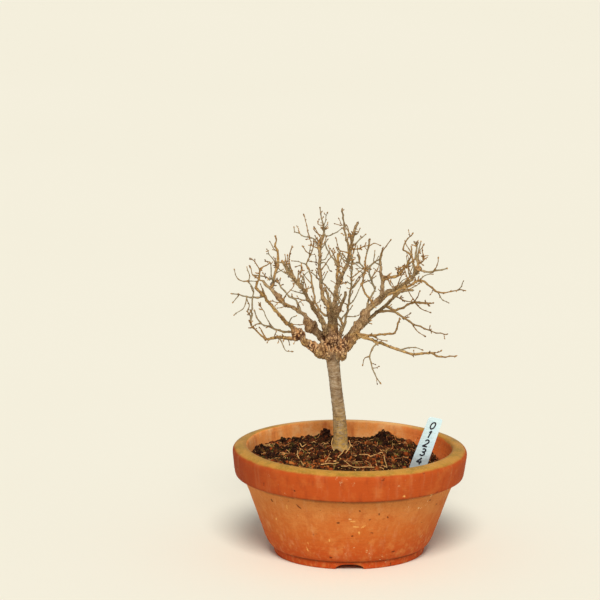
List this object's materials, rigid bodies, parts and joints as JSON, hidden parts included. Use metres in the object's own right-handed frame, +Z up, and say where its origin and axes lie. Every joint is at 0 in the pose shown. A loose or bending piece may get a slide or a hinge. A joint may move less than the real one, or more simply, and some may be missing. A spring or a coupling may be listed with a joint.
{
  "type": "zelkova bonsai in a pot",
  "caption": "Leafless broom-style Japanese zelkova bonsai with a slim trunk and a dense round crown, in a round terracotta training pot with soil and a plastic plant label.",
  "frame": {"origin": "centre of the pot's foot on the surface it stands on", "axes": "+Z up along the pot's axis, the tree's front faces -Y"},
  "size_m": [0.212, 0.212, 0.3231],
  "materials": {
    "bark": "rough grey-brown bark with fine cross bands",
    "terracotta": "unglazed fired clay, thin ochre glaze on the lip",
    "soil": "damp crumbly potting soil",
    "label_plastic": "thin satin plastic",
    "net_plastic": "moulded plastic mesh"
  },
  "bodies": {
    "root": {"tree": "bark", "pot": "terracotta", "soil": "soil", "label": "label_plastic", "drain_screen": "net_plastic"}
  },
  "joints": []
}
